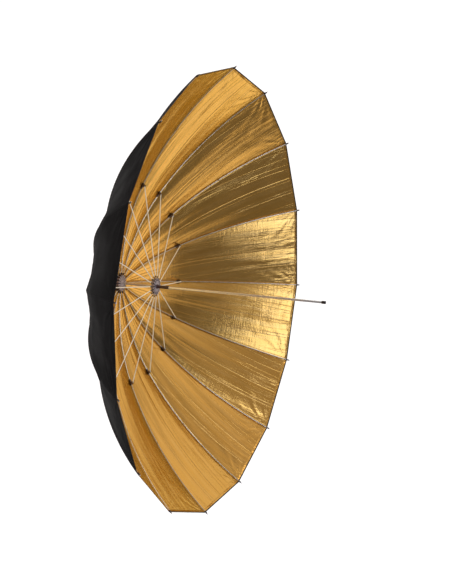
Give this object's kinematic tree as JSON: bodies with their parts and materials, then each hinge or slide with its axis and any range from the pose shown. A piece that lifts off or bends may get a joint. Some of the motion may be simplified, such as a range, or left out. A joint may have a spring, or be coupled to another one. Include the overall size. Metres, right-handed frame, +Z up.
{
  "type": "umbrella reflector",
  "caption": "Large folding umbrella reflector: deep multi-rib bowl with a black outside and a gold inside, on a straight round shaft with a sliding runner and a spring catch.",
  "frame": {"origin": "centre of the flat end face of the shaft's free end", "axes": "+Y along the shaft from its free end to the crown, so the bowl opens towards -Y; +Z up; the ribs are turned 9.25 degrees about the shaft from +Z towards +X"},
  "size_m": [1.4956, 0.7786, 1.4956],
  "materials": {
    "shaft_chrome": "bright plated tube",
    "black_plastic": "moulded, satin",
    "grey_ring": "grey, satin",
    "steel_wire": "bright wire",
    "rib_rod": "pale glass-fibre rod",
    "stretcher_steel": "pale plated steel",
    "canopy_fabric": "black nylon outside, gold metallised inside"
  },
  "bodies": {
    "root": {"shaft_tube": "shaft_chrome", "shaft_end_cap": "black_plastic", "catch_pin": "steel_wire", "crown_ring": "grey_ring", "crown_wire": "steel_wire", "crown_washer": "black_plastic", "top_cap": "black_plastic", "canopy": "canopy_fabric"},
    "runner": {"runner_ring": "grey_ring", "runner_sleeve": "black_plastic", "runner_wire": "steel_wire"},
    "catch": {"spring_catch": "steel_wire"},
    "rib_01": {"rib_inner_01": "rib_rod"},
    "rib_end_01": {"rib_outer_01": "rib_rod"},
    "stretcher_01": {"stretcher_01": "stretcher_steel"},
    "rib_02": {"rib_inner_02": "rib_rod"},
    "rib_end_02": {"rib_outer_02": "rib_rod"},
    "stretcher_02": {"stretcher_02": "stretcher_steel"},
    "rib_03": {"rib_inner_03": "rib_rod"},
    "rib_end_03": {"rib_outer_03": "rib_rod"},
    "stretcher_03": {"stretcher_03": "stretcher_steel"},
    "rib_04": {"rib_inner_04": "rib_rod"},
    "rib_end_04": {"rib_outer_04": "rib_rod"},
    "stretcher_04": {"stretcher_04": "stretcher_steel"},
    "rib_05": {"rib_inner_05": "rib_rod"},
    "rib_end_05": {"rib_outer_05": "rib_rod"},
    "stretcher_05": {"stretcher_05": "stretcher_steel"},
    "rib_06": {"rib_inner_06": "rib_rod"},
    "rib_end_06": {"rib_outer_06": "rib_rod"},
    "stretcher_06": {"stretcher_06": "stretcher_steel"},
    "rib_07": {"rib_inner_07": "rib_rod"},
    "rib_end_07": {"rib_outer_07": "rib_rod"},
    "stretcher_07": {"stretcher_07": "stretcher_steel"},
    "rib_08": {"rib_inner_08": "rib_rod"},
    "rib_end_08": {"rib_outer_08": "rib_rod"},
    "stretcher_08": {"stretcher_08": "stretcher_steel"},
    "rib_09": {"rib_inner_09": "rib_rod"},
    "rib_end_09": {"rib_outer_09": "rib_rod"},
    "stretcher_09": {"stretcher_09": "stretcher_steel"},
    "rib_10": {"rib_inner_10": "rib_rod"},
    "rib_end_10": {"rib_outer_10": "rib_rod"},
    "stretcher_10": {"stretcher_10": "stretcher_steel"},
    "rib_11": {"rib_inner_11": "rib_rod"},
    "rib_end_11": {"rib_outer_11": "rib_rod"},
    "stretcher_11": {"stretcher_11": "stretcher_steel"},
    "rib_12": {"rib_inner_12": "rib_rod"},
    "rib_end_12": {"rib_outer_12": "rib_rod"},
    "stretcher_12": {"stretcher_12": "stretcher_steel"},
    "rib_13": {"rib_inner_13": "rib_rod"},
    "rib_end_13": {"rib_outer_13": "rib_rod"},
    "stretcher_13": {"stretcher_13": "stretcher_steel"},
    "rib_14": {"rib_inner_14": "rib_rod"},
    "rib_end_14": {"rib_outer_14": "rib_rod"},
    "stretcher_14": {"stretcher_14": "stretcher_steel"},
    "rib_15": {"rib_inner_15": "rib_rod"},
    "rib_end_15": {"rib_outer_15": "rib_rod"},
    "stretcher_15": {"stretcher_15": "stretcher_steel"},
    "rib_16": {"rib_inner_16": "rib_rod"},
    "rib_end_16": {"rib_outer_16": "rib_rod"},
    "stretcher_16": {"stretcher_16": "stretcher_steel"}
  },
  "joints": [
    {"name": "runner_slide", "type": "slide", "parent": "root", "child": "runner", "axis": [0, -1, 0], "range_m": [0, 0.5147], "deforming": ["canopy", "spring_catch"]},
    {"name": "catch_press", "type": "hinge", "parent": "root", "child": "catch", "pos_m": [0, 0.533, 0], "axis": [1, 0, 0], "range_deg": [0, 5.6], "stiffness_Nm_per_rad": 0.3},
    {"name": "rib_fold_01", "type": "hinge", "parent": "root", "child": "rib_01", "pos_m": [0.00362, 0.7515, 0.02221], "axis": [0.987, 0, -0.1607], "range_deg": [0, 74.54]},
    {"name": "rib_flex_01", "type": "hinge", "parent": "rib_01", "child": "rib_end_01", "pos_m": [0.0552, 0.6904, 0.33893], "axis": [-0.987, 0, 0.1607], "range_deg": [0, 20.02]},
    {"name": "stretcher_fold_01", "type": "hinge", "parent": "rib_01", "child": "stretcher_01", "pos_m": [0.05473, 0.68405, 0.33604], "axis": [-0.987, 0, 0.1607], "range_deg": [0, 149.22]},
    {"name": "rib_fold_02", "type": "hinge", "parent": "root", "child": "rib_02", "pos_m": [0.01184, 0.7515, 0.01913], "axis": [0.8504, 0, -0.5262], "range_deg": [0, 74.54]},
    {"name": "rib_flex_02", "type": "hinge", "parent": "rib_02", "child": "rib_end_02", "pos_m": [0.1807, 0.6904, 0.29201], "axis": [-0.8504, 0, 0.5262], "range_deg": [0, 20.02]},
    {"name": "stretcher_fold_02", "type": "hinge", "parent": "rib_02", "child": "stretcher_02", "pos_m": [0.17916, 0.68405, 0.28951], "axis": [-0.8504, 0, 0.5262], "range_deg": [0, 149.22]},
    {"name": "rib_fold_03", "type": "hinge", "parent": "root", "child": "rib_03", "pos_m": [0.01826, 0.7515, 0.01315], "axis": [0.5842, 0, -0.8116], "range_deg": [0, 74.54]},
    {"name": "rib_flex_03", "type": "hinge", "parent": "rib_03", "child": "rib_end_03", "pos_m": [0.2787, 0.6904, 0.20063], "axis": [-0.5842, 0, 0.8116], "range_deg": [0, 20.02]},
    {"name": "stretcher_fold_03", "type": "hinge", "parent": "rib_03", "child": "stretcher_03", "pos_m": [0.27631, 0.68405, 0.19892], "axis": [-0.5842, 0, 0.8116], "range_deg": [0, 149.22]},
    {"name": "rib_fold_04", "type": "hinge", "parent": "root", "child": "rib_04", "pos_m": [0.0219, 0.7515, 0.00516], "axis": [0.2292, 0, -0.9734], "range_deg": [0, 74.54]},
    {"name": "rib_flex_04", "type": "hinge", "parent": "rib_04", "child": "rib_end_04", "pos_m": [0.33426, 0.6904, 0.07871], "axis": [-0.2292, 0, 0.9734], "range_deg": [0, 20.02]},
    {"name": "stretcher_fold_04", "type": "hinge", "parent": "rib_04", "child": "stretcher_04", "pos_m": [0.3314, 0.68405, 0.07803], "axis": [-0.2292, 0, 0.9734], "range_deg": [0, 149.22]},
    {"name": "rib_fold_05", "type": "hinge", "parent": "root", "child": "rib_05", "pos_m": [0.02221, 0.7515, -0.00362], "axis": [-0.1607, 0, -0.987], "range_deg": [0, 74.54]},
    {"name": "rib_flex_05", "type": "hinge", "parent": "rib_05", "child": "rib_end_05", "pos_m": [0.33893, 0.6904, -0.0552], "axis": [0.1607, 0, 0.987], "range_deg": [0, 20.02]},
    {"name": "stretcher_fold_05", "type": "hinge", "parent": "rib_05", "child": "stretcher_05", "pos_m": [0.33604, 0.68405, -0.05473], "axis": [0.1607, 0, 0.987], "range_deg": [0, 149.22]},
    {"name": "rib_fold_06", "type": "hinge", "parent": "root", "child": "rib_06", "pos_m": [0.01913, 0.7515, -0.01184], "axis": [-0.5262, 0, -0.8504], "range_deg": [0, 74.54]},
    {"name": "rib_flex_06", "type": "hinge", "parent": "rib_06", "child": "rib_end_06", "pos_m": [0.29201, 0.6904, -0.1807], "axis": [0.5262, 0, 0.8504], "range_deg": [0, 20.02]},
    {"name": "stretcher_fold_06", "type": "hinge", "parent": "rib_06", "child": "stretcher_06", "pos_m": [0.28951, 0.68405, -0.17916], "axis": [0.5262, 0, 0.8504], "range_deg": [0, 149.22]},
    {"name": "rib_fold_07", "type": "hinge", "parent": "root", "child": "rib_07", "pos_m": [0.01315, 0.7515, -0.01826], "axis": [-0.8116, 0, -0.5842], "range_deg": [0, 74.54]},
    {"name": "rib_flex_07", "type": "hinge", "parent": "rib_07", "child": "rib_end_07", "pos_m": [0.20063, 0.6904, -0.2787], "axis": [0.8116, 0, 0.5842], "range_deg": [0, 20.02]},
    {"name": "stretcher_fold_07", "type": "hinge", "parent": "rib_07", "child": "stretcher_07", "pos_m": [0.19892, 0.68405, -0.27631], "axis": [0.8116, 0, 0.5842], "range_deg": [0, 149.22]},
    {"name": "rib_fold_08", "type": "hinge", "parent": "root", "child": "rib_08", "pos_m": [0.00516, 0.7515, -0.0219], "axis": [-0.9734, 0, -0.2292], "range_deg": [0, 74.54]},
    {"name": "rib_flex_08", "type": "hinge", "parent": "rib_08", "child": "rib_end_08", "pos_m": [0.07871, 0.6904, -0.33426], "axis": [0.9734, 0, 0.2292], "range_deg": [0, 20.02]},
    {"name": "stretcher_fold_08", "type": "hinge", "parent": "rib_08", "child": "stretcher_08", "pos_m": [0.07803, 0.68405, -0.3314], "axis": [0.9734, 0, 0.2292], "range_deg": [0, 149.22]},
    {"name": "rib_fold_09", "type": "hinge", "parent": "root", "child": "rib_09", "pos_m": [-0.00362, 0.7515, -0.02221], "axis": [-0.987, 0, 0.1607], "range_deg": [0, 74.54]},
    {"name": "rib_flex_09", "type": "hinge", "parent": "rib_09", "child": "rib_end_09", "pos_m": [-0.0552, 0.6904, -0.33893], "axis": [0.987, 0, -0.1607], "range_deg": [0, 20.02]},
    {"name": "stretcher_fold_09", "type": "hinge", "parent": "rib_09", "child": "stretcher_09", "pos_m": [-0.05473, 0.68405, -0.33604], "axis": [0.987, 0, -0.1607], "range_deg": [0, 149.22]},
    {"name": "rib_fold_10", "type": "hinge", "parent": "root", "child": "rib_10", "pos_m": [-0.01184, 0.7515, -0.01913], "axis": [-0.8504, 0, 0.5262], "range_deg": [0, 74.54]},
    {"name": "rib_flex_10", "type": "hinge", "parent": "rib_10", "child": "rib_end_10", "pos_m": [-0.1807, 0.6904, -0.29201], "axis": [0.8504, 0, -0.5262], "range_deg": [0, 20.02]},
    {"name": "stretcher_fold_10", "type": "hinge", "parent": "rib_10", "child": "stretcher_10", "pos_m": [-0.17916, 0.68405, -0.28951], "axis": [0.8504, 0, -0.5262], "range_deg": [0, 149.22]},
    {"name": "rib_fold_11", "type": "hinge", "parent": "root", "child": "rib_11", "pos_m": [-0.01826, 0.7515, -0.01315], "axis": [-0.5842, 0, 0.8116], "range_deg": [0, 74.54]},
    {"name": "rib_flex_11", "type": "hinge", "parent": "rib_11", "child": "rib_end_11", "pos_m": [-0.2787, 0.6904, -0.20063], "axis": [0.5842, 0, -0.8116], "range_deg": [0, 20.02]},
    {"name": "stretcher_fold_11", "type": "hinge", "parent": "rib_11", "child": "stretcher_11", "pos_m": [-0.27631, 0.68405, -0.19892], "axis": [0.5842, 0, -0.8116], "range_deg": [0, 149.22]},
    {"name": "rib_fold_12", "type": "hinge", "parent": "root", "child": "rib_12", "pos_m": [-0.0219, 0.7515, -0.00516], "axis": [-0.2292, 0, 0.9734], "range_deg": [0, 74.54]},
    {"name": "rib_flex_12", "type": "hinge", "parent": "rib_12", "child": "rib_end_12", "pos_m": [-0.33426, 0.6904, -0.07871], "axis": [0.2292, 0, -0.9734], "range_deg": [0, 20.02]},
    {"name": "stretcher_fold_12", "type": "hinge", "parent": "rib_12", "child": "stretcher_12", "pos_m": [-0.3314, 0.68405, -0.07803], "axis": [0.2292, 0, -0.9734], "range_deg": [0, 149.22]},
    {"name": "rib_fold_13", "type": "hinge", "parent": "root", "child": "rib_13", "pos_m": [-0.02221, 0.7515, 0.00362], "axis": [0.1607, 0, 0.987], "range_deg": [0, 74.54]},
    {"name": "rib_flex_13", "type": "hinge", "parent": "rib_13", "child": "rib_end_13", "pos_m": [-0.33893, 0.6904, 0.0552], "axis": [-0.1607, 0, -0.987], "range_deg": [0, 20.02]},
    {"name": "stretcher_fold_13", "type": "hinge", "parent": "rib_13", "child": "stretcher_13", "pos_m": [-0.33604, 0.68405, 0.05473], "axis": [-0.1607, 0, -0.987], "range_deg": [0, 149.22]},
    {"name": "rib_fold_14", "type": "hinge", "parent": "root", "child": "rib_14", "pos_m": [-0.01913, 0.7515, 0.01184], "axis": [0.5262, 0, 0.8504], "range_deg": [0, 74.54]},
    {"name": "rib_flex_14", "type": "hinge", "parent": "rib_14", "child": "rib_end_14", "pos_m": [-0.29201, 0.6904, 0.1807], "axis": [-0.5262, 0, -0.8504], "range_deg": [0, 20.02]},
    {"name": "stretcher_fold_14", "type": "hinge", "parent": "rib_14", "child": "stretcher_14", "pos_m": [-0.28951, 0.68405, 0.17916], "axis": [-0.5262, 0, -0.8504], "range_deg": [0, 149.22]},
    {"name": "rib_fold_15", "type": "hinge", "parent": "root", "child": "rib_15", "pos_m": [-0.01315, 0.7515, 0.01826], "axis": [0.8116, 0, 0.5842], "range_deg": [0, 74.54]},
    {"name": "rib_flex_15", "type": "hinge", "parent": "rib_15", "child": "rib_end_15", "pos_m": [-0.20063, 0.6904, 0.2787], "axis": [-0.8116, 0, -0.5842], "range_deg": [0, 20.02]},
    {"name": "stretcher_fold_15", "type": "hinge", "parent": "rib_15", "child": "stretcher_15", "pos_m": [-0.19892, 0.68405, 0.27631], "axis": [-0.8116, 0, -0.5842], "range_deg": [0, 149.22]},
    {"name": "rib_fold_16", "type": "hinge", "parent": "root", "child": "rib_16", "pos_m": [-0.00516, 0.7515, 0.0219], "axis": [0.9734, 0, 0.2292], "range_deg": [0, 74.54]},
    {"name": "rib_flex_16", "type": "hinge", "parent": "rib_16", "child": "rib_end_16", "pos_m": [-0.07871, 0.6904, 0.33426], "axis": [-0.9734, 0, -0.2292], "range_deg": [0, 20.02]},
    {"name": "stretcher_fold_16", "type": "hinge", "parent": "rib_16", "child": "stretcher_16", "pos_m": [-0.07803, 0.68405, 0.3314], "axis": [-0.9734, 0, -0.2292], "range_deg": [0, 149.22]}
  ],
  "couplings": [
    {"joint": "rib_fold_01", "follows": "runner_slide", "rad_per_m": 2.527},
    {"joint": "rib_flex_01", "follows": "runner_slide", "rad_per_m": 0.67812},
    {"joint": "stretcher_fold_01", "follows": "runner_slide", "rad_per_m": 5.0593},
    {"joint": "rib_fold_02", "follows": "runner_slide", "rad_per_m": 2.527},
    {"joint": "rib_flex_02", "follows": "runner_slide", "rad_per_m": 0.67812},
    {"joint": "stretcher_fold_02", "follows": "runner_slide", "rad_per_m": 5.0593},
    {"joint": "rib_fold_03", "follows": "runner_slide", "rad_per_m": 2.527},
    {"joint": "rib_flex_03", "follows": "runner_slide", "rad_per_m": 0.67812},
    {"joint": "stretcher_fold_03", "follows": "runner_slide", "rad_per_m": 5.0593},
    {"joint": "rib_fold_04", "follows": "runner_slide", "rad_per_m": 2.527},
    {"joint": "rib_flex_04", "follows": "runner_slide", "rad_per_m": 0.67812},
    {"joint": "stretcher_fold_04", "follows": "runner_slide", "rad_per_m": 5.0593},
    {"joint": "rib_fold_05", "follows": "runner_slide", "rad_per_m": 2.527},
    {"joint": "rib_flex_05", "follows": "runner_slide", "rad_per_m": 0.67812},
    {"joint": "stretcher_fold_05", "follows": "runner_slide", "rad_per_m": 5.0593},
    {"joint": "rib_fold_06", "follows": "runner_slide", "rad_per_m": 2.527},
    {"joint": "rib_flex_06", "follows": "runner_slide", "rad_per_m": 0.67812},
    {"joint": "stretcher_fold_06", "follows": "runner_slide", "rad_per_m": 5.0593},
    {"joint": "rib_fold_07", "follows": "runner_slide", "rad_per_m": 2.527},
    {"joint": "rib_flex_07", "follows": "runner_slide", "rad_per_m": 0.67812},
    {"joint": "stretcher_fold_07", "follows": "runner_slide", "rad_per_m": 5.0593},
    {"joint": "rib_fold_08", "follows": "runner_slide", "rad_per_m": 2.527},
    {"joint": "rib_flex_08", "follows": "runner_slide", "rad_per_m": 0.67812},
    {"joint": "stretcher_fold_08", "follows": "runner_slide", "rad_per_m": 5.0593},
    {"joint": "rib_fold_09", "follows": "runner_slide", "rad_per_m": 2.527},
    {"joint": "rib_flex_09", "follows": "runner_slide", "rad_per_m": 0.67812},
    {"joint": "stretcher_fold_09", "follows": "runner_slide", "rad_per_m": 5.0593},
    {"joint": "rib_fold_10", "follows": "runner_slide", "rad_per_m": 2.527},
    {"joint": "rib_flex_10", "follows": "runner_slide", "rad_per_m": 0.67812},
    {"joint": "stretcher_fold_10", "follows": "runner_slide", "rad_per_m": 5.0593},
    {"joint": "rib_fold_11", "follows": "runner_slide", "rad_per_m": 2.527},
    {"joint": "rib_flex_11", "follows": "runner_slide", "rad_per_m": 0.67812},
    {"joint": "stretcher_fold_11", "follows": "runner_slide", "rad_per_m": 5.0593},
    {"joint": "rib_fold_12", "follows": "runner_slide", "rad_per_m": 2.527},
    {"joint": "rib_flex_12", "follows": "runner_slide", "rad_per_m": 0.67812},
    {"joint": "stretcher_fold_12", "follows": "runner_slide", "rad_per_m": 5.0593},
    {"joint": "rib_fold_13", "follows": "runner_slide", "rad_per_m": 2.527},
    {"joint": "rib_flex_13", "follows": "runner_slide", "rad_per_m": 0.67812},
    {"joint": "stretcher_fold_13", "follows": "runner_slide", "rad_per_m": 5.0593},
    {"joint": "rib_fold_14", "follows": "runner_slide", "rad_per_m": 2.527},
    {"joint": "rib_flex_14", "follows": "runner_slide", "rad_per_m": 0.67812},
    {"joint": "stretcher_fold_14", "follows": "runner_slide", "rad_per_m": 5.0593},
    {"joint": "rib_fold_15", "follows": "runner_slide", "rad_per_m": 2.527},
    {"joint": "rib_flex_15", "follows": "runner_slide", "rad_per_m": 0.67812},
    {"joint": "stretcher_fold_15", "follows": "runner_slide", "rad_per_m": 5.0593},
    {"joint": "rib_fold_16", "follows": "runner_slide", "rad_per_m": 2.527},
    {"joint": "rib_flex_16", "follows": "runner_slide", "rad_per_m": 0.67812},
    {"joint": "stretcher_fold_16", "follows": "runner_slide", "rad_per_m": 5.0593}
  ]
}
